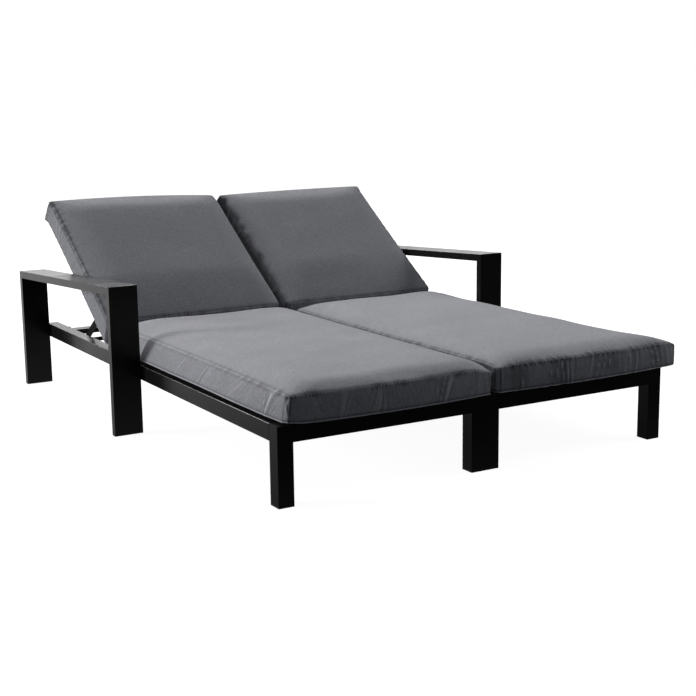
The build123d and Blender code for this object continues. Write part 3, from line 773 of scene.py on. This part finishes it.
def fold_side(along, height, on_side, strength, seed):
    """Upright folds in patches on one side's boxing; returns the push and the painted light on their crests and
    painted shade between them.
    """
    lean = FOLD_LEAN * smooth_noise(along, LEAN_WAVE, seed + 5)
    fold = smooth_noise(along + lean * (height - FOLD_MIDDLE), FOLD_WAVE, seed + 13)
    patch = PATCH_USUAL + PATCH_CHANGE * smooth_noise(along, PATCH_WAVE, seed + 17)
    patch = np.clip(patch, 0, PATCH_MOST)
    crest = np.maximum(1 - FOLD_SHARPNESS * np.abs(fold), 0)
    share = np.clip(height / BOXING_HEIGHT, 0, 1)
    reach = np.where(on_side, strength * patch * np.sin(math.pi * share) ** 0.5, 0)
    # The second value is painted light on the fold crests and painted shade between them
    return reach * (FOLD_PUSH * crest - FOLD_SINK), reach * (FOLD_PAINTED_LIGHT * crest - FOLD_PAINTED_SHADE)


def welt_side(on_side, distances, corners, painted_shading):
    """Welts along one side's seams and at its corners; returns the push and their painted highlights and painted
    shade.

    The last argument says how strong the welt's painted highlight is and how dark the painted shade in the crease
    and in the hollow below it is.
    """
    welt_painted_highlight, crease_painted_shade, hollow_painted_shade = painted_shading
    beside, below, above = distances
    push = np.zeros(len(on_side))
    for distance, welt in zip(distances, WELT_HEIGHTS):
        push += welt * bell(distance, WELT_WIDTH) - SEAM_DEPTH * bell(distance, SEAM_WIDTH)
    # Painted highlight along the upper welt
    shade = welt_painted_highlight * bell(np.minimum(beside, below), WELT_PAINTED_HIGHLIGHT_WIDTH)
    # Painted shade in the creases beside and below the upper seam
    shade -= crease_painted_shade * (soft_line(beside, *PAINTED_SHADE_BESIDE_SEAM) + soft_line(below, *PAINTED_SHADE_BELOW_SEAM))
    # Painted highlight on the lower welt and painted shade in the crease beside it
    shade += np.where(above < LOW_WELT_HIGHLIGHT_REACH, LOW_WELT_PAINTED_HIGHLIGHT, 0) - soft_line(above, *PAINTED_SHADE_ABOVE_SEAM)
    # Painted shade deepening down the boxing, where cushions meet in a hollow
    shade -= hollow_painted_shade * np.where(on_side, np.clip((below - PAINTED_HOLLOW_SHADE_FROM) / PAINTED_HOLLOW_SHADE_FADE, 0, 1), 0)
    for corner in corners:
        corner = np.where(on_side, np.abs(corner), FAR_OFF)
        push += soft_line(corner, *CORNER_RIDGE) - soft_line(corner, *CORNER_DIP)
        # Painted highlight on the corner's welt and painted shade beside it
        shade += soft_line(corner, *CORNER_PAINTED_HIGHLIGHT) - soft_line(corner, *CORNER_PAINTED_SHADE)
    return push, shade


def draw_seams(points, normals, cover, gathers, painted_shading, seed):
    """Draws the cloth in at the seams, with a welt, gathers and upright folds where they are strong.

    Also returns each point's painted shade: minus one for the darkest painted shade deep in a crease, one for the
    brightest painted light on the crest of a fold.
    """
    push = np.zeros(len(points))
    shade = np.zeros(len(points))
    height = points[:, 2]
    for number, (along, inward, length) in enumerate(cover.side_places(points)):
        side_seed = seed + 31 * number
        strength = np.interp(along, *gathers[number])
        on_side, *distances = seam_distances(height, inward)
        pinched, dark = gather_side(along, inward, strength, distances, side_seed)
        folded, light = fold_side(along, height, on_side, strength, side_seed)
        raised, gleam = welt_side(on_side, distances, (along, length - along), painted_shading[number])
        push += pinched + folded + raised
        # light and gleam are painted highlights, dark is painted shade; they go into the cloth's colour
        shade += light + gleam - dark
    return points + normals * push[:, None], np.clip(shade, -1, 1)


def settle_edges(points, cover, edge, tugs):
    """Lifts the left lower edge off its rail, bulging out over it, and tugs at corners of the seam."""
    settled = points.copy()
    low_share = np.clip(1 - points[:, 2] / BOXING_HEIGHT, 0, 1)
    if edge:
        places, lifts, bulges = edge
        along, inward, length = cover.side_places(points)[3]
        near = low_share * bell(inward, EDGE_REACH)
        settled[:, 2] += np.interp(along, places, lifts) * near
        settled[:, 0] -= np.interp(along, places, bulges) * near
        settled[:, 0] = np.maximum(settled[:, 0], RAIL_FACE)
    high_share = np.clip(points[:, 2] / BOXING_HEIGHT, 0, 1)
    for number, sideways, down, reach in tugs:
        corner = np.array(cover.seam_corners[number], float)
        near = bell(np.linalg.norm(points[:, :2] - corner, axis=1), reach)
        settled[:, 0] += sideways * near
        settled[:, 2] -= down * high_share * near
    return settled


def wave_panels(points, normals, size, seed):
    """Slow rises and dips of filling under the cloth of the top panel."""
    random = np.random.default_rng(seed)
    push = np.zeros(len(points))
    for layer in range(WAVES):
        angle = random.uniform(0, math.pi)
        length = random.uniform(*WAVE_LENGTHS)
        line = points[:, 0] * math.cos(angle) + points[:, 1] * math.sin(angle)
        push += np.sin(2 * math.pi * line / length + random.uniform(0, 2 * math.pi))
    on_top = np.clip((points[:, 2] - BOXING_HEIGHT) / WAVE_FADE, 0, 1)
    return points + normals * (push * size / math.sqrt(WAVES) * on_top)[:, None]


def read_normals(mesh):
    """A mesh's vertex normals as an array."""
    normals = np.zeros(len(mesh.vertices) * 3, np.float32)
    mesh.vertices.foreach_get("normal", normals)
    return normals.reshape(-1, 3).astype(float)


def refine(piece):
    """Subdivides a piece's mesh once, for good."""
    subdivision = piece.modifiers.new("subdivision", "SUBSURF")
    subdivision.levels = 1
    finer = bpy.data.meshes.new_from_object(piece.evaluated_get(bpy.context.evaluated_depsgraph_get()))
    piece.modifiers.clear()
    piece.data = finer
    for polygon in finer.polygons:
        polygon.use_smooth = True


def sew_cushion(name, cover, to_world, body, cap, gathers, painted_shading, seed, edge, tugs):
    """Makes one cushion in its own frame and lays it in its place."""
    piece = mesh_from(name, cover.points, cover.faces)
    points = blow_up(piece, cover, cap)
    piece.data.vertices.foreach_set("co", points.astype(np.float32).ravel())
    piece.data.update()
    refine(piece)
    points = wave_panels(read_points(piece.data), read_normals(piece.data), WAVE_SHARE * cap, seed + 3)
    points, shade = draw_seams(points, read_normals(piece.data), cover, gathers, painted_shading, seed)
    # The painted shade and painted highlights are stored on the points for the cloth's colour
    piece.data.attributes.new("painted_shade", "FLOAT", "POINT").data.foreach_set("value", shade.astype(np.float32))
    points = settle_edges(points, cover, edge, tugs)
    points[:, 2] = np.maximum(points[:, 2], 0.0)
    piece.data.vertices.foreach_set("co", points.astype(np.float32).ravel())
    piece.data.transform(to_world)
    piece.data.update()
    piece.data.materials.clear()
    piece.data.materials.append(CLOTH)
    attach(piece, body)
    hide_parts(name)


def seat_cover(side):
    """A seat cushion's cover, laid out from the box of its solid in the frame."""
    low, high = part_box(f"{side}_seat_cushion")
    near = low.y + FRONT_BOW
    far = high.y
    if side == "left":
        left, right, out, back = low.x, high.x - SLIGHT_BOW, 0.0, 0.0
        bows = (-FRONT_BOW, -SLIGHT_BOW, SLIGHT_BOW, SIDE_DRAW)
    else:
        left, out, back = low.x + SLIGHT_BOW, SPRING_OUT, SPRING_BACK
        right = high.x + SIDE_FULL - SPRING_OUT
        bows = (-FRONT_BOW, (SPRING_OUT, SPRING_REACH), SLIGHT_BOW, -SLIGHT_BOW)
    plans = []
    for lean in (0.0, SEAT_LEAN):
        plans.append(((left, near), (right + out, near + back), (right, far - lean), (left, far - lean)))
    cover = Cover(plans[0], plans[1], bows, high.z - low.z - BOXING_HEIGHT, SEAT_ROLLS[side])
    return cover, Matrix.Translation((0, 0, low.z))


def back_cover(side):
    """A back cushion's cover, laid out up the slope of its backrest."""
    pivot = Vector(joint(f"{side}_recline")["pos_m"])
    pivot.x = 0.0
    slope = Matrix.Translation(pivot) @ Matrix.Rotation(RECLINE, 4, "X")
    solid = frame["nodes"][f"{side}_back_cushion"]
    local = np.array([slope.inverted() @ vertex.co for vertex in solid.data.vertices])
    low = local.min(axis=0)
    high = local.max(axis=0)
    near = low[1] + SLIGHT_BOW
    far = high[1] - TOP_BOW
    left, right = low[0], high[0]
    left_short, right_short = BACK_SHORT[side]
    if side == "left":
        right -= BACK_GAP
        bows = (-SLIGHT_BOW, SLIGHT_BOW, -BACK_BOWS[side], BACK_DRAW)
    else:
        bows = (-SLIGHT_BOW, SLIGHT_BOW, -BACK_BOWS[side], 2 * SLIGHT_BOW)
    plans = []
    for lean, full in zip((0.0, BACK_LEAN), BACK_FULL[side]):
        outer = left - full
        lower = ((outer, near + lean), (right, near + lean))
        upper = ((right, far - right_short), (outer, far - left_short))
        plans.append(lower + upper)
    cover = Cover(plans[0], plans[1], bows, high[2] - low[2] - BOXING_HEIGHT, BACK_ROLLS)
    return cover, slope @ Matrix.Translation((0, 0, low[2]))


# Strength of the gathers along each side, near, right, far and left: places in metres, then strengths
EVEN = ((0.0, 2.0), (0.35, 0.35))
LEFT_SEAT_GATHERS = (
    ((0.0, 0.1, 0.3, 0.5, 0.7), (0.8, 0.4, 0.6, 0.9, 0.4)),
    ((0.0, 2.0), (0.15, 0.15)),
    EVEN,
    ((0.0, 0.5, 0.8, 1.0, 1.1, 1.2, 1.3), (0.1, 0.2, 0.4, 0.35, 0.6, 0.8, 0.6)),
)
RIGHT_SEAT_GATHERS = (
    ((0.0, 0.1, 0.3, 0.5, 0.7), (1.2, 1.6, 1.3, 1.7, 1.2)),
    ((0.0, 2.0), (0.5, 0.3)),
    EVEN,
    ((0.0, 0.8, 1.3), (0.2, 0.6, 0.5)),
)
LEFT_BACK_GATHERS = (
    EVEN,
    ((0.0, 2.0), (0.15, 0.15)),
    ((0.0, 0.3, 0.7), (0.15, 0.15, 0.3)),
    ((0.0, 0.1, 0.35, 0.45, 0.8), (1.4, 1.0, 1.4, 0.9, 0.3)),
)
RIGHT_BACK_GATHERS = (
    EVEN,
    ((0.0, 0.3, 0.8), (0.8, 0.6, 0.4)),
    ((0.0, 0.7), (0.15, 0.2)),
    ((0.0, 0.3, 0.8), (1.0, 0.7, 0.3)),
)


# The left seat cushion's outer lower edge, from its rear end to its front one: places, how far it stands
# off the rail there, and how far it bulges out over it
LEFT_SEAT_EDGE = (
    (0.0, 0.15, 0.35, 0.55, 0.75, 1.0, 1.2, 1.3),
    (0.010, 0.012, 0.014, 0.0125, 0.0135, 0.0105, 0.008, 0.007),
    (0.026, 0.032, 0.037, 0.038, 0.038, 0.033, 0.022, 0.0115),
)
# Corners of the upper seams that are tugged: which, how far sideways and down, and over what reach
LEFT_SEAT_TUGS = ((0, 0.0, 0.002, 0.055), (1, 0.0, 0.014, 0.055))
RIGHT_SEAT_TUGS = (
    (0, 0.0, 0.005, 0.055),
    (1, 0.0, 0.004, 0.04),
    (1, 0.0, 0.005, 0.25),
    (1, -0.001, 0.008, 0.014),
)
LEFT_BACK_TUGS = ((2, -0.005, 0.0, 0.03), (3, -0.012, 0.0, 0.022))
RIGHT_BACK_TUGS = ((2, 0.006, 0.0, 0.03), (3, -0.017, 0.0, 0.026))
# How strong the welt's painted highlight is and how dark the painted shade in the crease and in the hollow below
# it is along each side, near, right, far and left
SEAT_PAINTED_SHADING = ((0.15, 0.30, 0.0), (1.1, 0.10, 0.0), (1.0, 0.2, 0.0), (0.3, 0.40, 0.0))
LEFT_BACK_PAINTED_SHADING = ((0.2, 0.5, 0.8), (2.2, 0.0, 0.3), (0.3, 0.3, 0.0), (0.5, 0.85, 0.0))
RIGHT_BACK_PAINTED_SHADING = ((0.2, 0.5, 0.8), (1.2, 0.10, 0.0), (0.3, 0.3, 0.0), (0.0, 0.15, 1.1))


def sew_cushions():
    """Makes the four cushions."""
    cushions = (
        ("left", "seat", SEAT_PUFF, LEFT_SEAT_GATHERS, SEAT_PAINTED_SHADING, 10, LEFT_SEAT_EDGE, LEFT_SEAT_TUGS),
        ("right", "seat", SEAT_PUFF, RIGHT_SEAT_GATHERS, SEAT_PAINTED_SHADING, 11, None, RIGHT_SEAT_TUGS),
        ("left", "back", BACK_PUFF, LEFT_BACK_GATHERS, LEFT_BACK_PAINTED_SHADING, 20, None, LEFT_BACK_TUGS),
        ("right", "back", BACK_PUFF, RIGHT_BACK_GATHERS, RIGHT_BACK_PAINTED_SHADING, 21, None, RIGHT_BACK_TUGS),
    )
    for side, kind, *details in cushions:
        cover, place = (seat_cover if kind == "seat" else back_cover)(side)
        body = "frame" if kind == "seat" else f"{side}_backrest"
        sew_cushion(f"{side}_{kind}_cushion", cover, place, body, *details)


sew_cushions()


# Studio: where the key and the left lamp stand, seen from the middle of the object
MIDDLE = Vector((0.0, 0.1, 0.25))
KEY_WAY = Vector((0.05, 0.77, 0.63)).normalized()
SIDE_WAY = Vector((-0.93, 0.28, 0.21)).normalized()
FAR = 8.0
# Each lamp's place, target, size and power
LAMPS = {
    "key": (MIDDLE + FAR * KEY_WAY, MIDDLE, 4.4, 1000),
    "left": (MIDDLE + FAR * SIDE_WAY, MIDDLE, 2.2, 600),
    "right": ((2.4, -1.5, 2.2), (0.3, 0.1, 0.35), 1.2, 28),
}
# The world's weak fill, and what polished pieces mirror: dark in front, white behind
FILL = 0.17
FILL_COLOUR = (0.86, 0.92, 1.0, 1)
FRONT_GLOSS = 0.05
DARK_FROM = -1.4
BRIGHT_FROM = 2.4
BRIGHT_SKY = 0.7
# The floor: how wide and pale it is, its glow near the object and beyond, and what it bounces
FLOOR_REACH = 40.0
FLOOR_SHADE = 0.16
FLOOR_GLOW = 0.95
FLOOR_WHITE = 1.02
FLOOR_NEAR = 1.6
FLOOR_FAR = 3.0
BOUNCE = 0.12


def add_area_light(name, place, target, size, power):
    """A square soft lamp that points at a target."""
    data = bpy.data.lights.new(name, "AREA")
    data.shape = "SQUARE"
    data.size = size
    data.energy = power
    lamp = bpy.data.objects.new(name, data)
    bpy.context.scene.collection.objects.link(lamp)
    lamp.location = place
    lamp.rotation_euler = (Vector(target) - Vector(place)).to_track_quat("-Z", "Y").to_euler()


def seen_directly(nodes):
    """Whether a ray comes from the camera, straight or through glass, and whether it is a reflection."""
    path = nodes.add("ShaderNodeLightPath")
    straight = nodes.math("MAXIMUM", path.outputs["Is Camera Ray"], path.outputs["Is Transmission Ray"])
    return straight, path.outputs["Is Glossy Ray"]


def make_floor():
    """A wide pale floor: white to the camera with a faint shadow, dull as a source of bounced light."""
    corners = [(-1, -1, 0), (1, -1, 0), (1, 1, 0), (-1, 1, 0)]
    floor = mesh_from("floor", FLOOR_REACH * np.array(corners, float), np.array([(0, 1, 2, 3)]))
    material = bpy.data.materials.new("pale_floor")
    material.use_nodes = True
    tree = material.node_tree
    tree.nodes.clear()
    nodes = Nodes(tree)
    seen, glossy = seen_directly(nodes)
    place = nodes.add("ShaderNodeTexCoord").outputs["Object"]
    distance = nodes.add("ShaderNodeVectorMath", operation="LENGTH")
    nodes.feed(distance.inputs[0], place)
    pale = nodes.add("ShaderNodeBsdfDiffuse")
    pale.inputs["Color"].default_value = (FLOOR_SHADE, FLOOR_SHADE, FLOOR_SHADE, 1)
    glow = nodes.add("ShaderNodeEmission")
    nodes.feed(
        glow.inputs["Strength"],
        nodes.stretch(distance.outputs["Value"], FLOOR_NEAR, FLOOR_FAR, FLOOR_GLOW, FLOOR_WHITE),
    )
    bright = nodes.add("ShaderNodeAddShader")
    nodes.feed(bright.inputs[0], pale.outputs[0])
    nodes.feed(bright.inputs[1], glow.outputs[0])
    mirrored = nodes.add("ShaderNodeEmission")
    nodes.feed(
        mirrored.inputs["Strength"],
        nodes.stretch(nodes.split(place)[1], DARK_FROM, BRIGHT_FROM, FRONT_GLOSS, 1.0),
    )
    dull = nodes.add("ShaderNodeBsdfDiffuse")
    dull.inputs["Color"].default_value = (BOUNCE, BOUNCE, BOUNCE, 1)
    mix = nodes.add("ShaderNodeMixShader")
    nodes.feed(mix.inputs[0], glossy)
    nodes.feed(mix.inputs[1], dull.outputs[0])
    nodes.feed(mix.inputs[2], mirrored.outputs[0])
    last = nodes.add("ShaderNodeMixShader")
    nodes.feed(last.inputs[0], seen)
    nodes.feed(last.inputs[1], mix.outputs[0])
    nodes.feed(last.inputs[2], bright.outputs[0])
    output = nodes.add("ShaderNodeOutputMaterial")
    nodes.feed(output.inputs["Surface"], last.outputs[0])
    floor.data.materials.append(material)


def make_world():
    """White behind the object; reflections run from dark in front to white behind; else a weak fill."""
    world = bpy.data.worlds.new("studio")
    world.use_nodes = True
    bpy.context.scene.world = world
    tree = world.node_tree
    tree.nodes.clear()
    nodes = Nodes(tree)
    seen, glossy = seen_directly(nodes)
    direction = nodes.add("ShaderNodeTexCoord").outputs["Generated"]
    mirrored = nodes.stretch(nodes.split(direction)[1], 0.0, BRIGHT_SKY, FRONT_GLOSS, 1.0)
    strength = nodes.math("ADD", nodes.math("MULTIPLY", mirrored, glossy), seen)
    other = nodes.math("SUBTRACT", 1.0, nodes.math("ADD", glossy, seen), clamp=True)
    strength = nodes.math("ADD", strength, nodes.math("MULTIPLY", other, FILL))
    background = nodes.add("ShaderNodeBackground")
    nodes.feed(background.inputs["Color"], nodes.mix_colour(other, (1, 1, 1, 1), FILL_COLOUR))
    nodes.feed(background.inputs["Strength"], strength)
    output = nodes.add("ShaderNodeOutputWorld")
    nodes.feed(output.inputs["Surface"], background.outputs[0])


def light_studio():
    """Key light high behind, a smaller one low on the left and a weak one in front on the right."""
    for name, (place, target, size, power) in LAMPS.items():
        add_area_light(name, place, target, size, power)
    make_floor()
    make_world()


light_studio()

scene = bpy.context.scene
scene.view_settings.view_transform = "Standard"
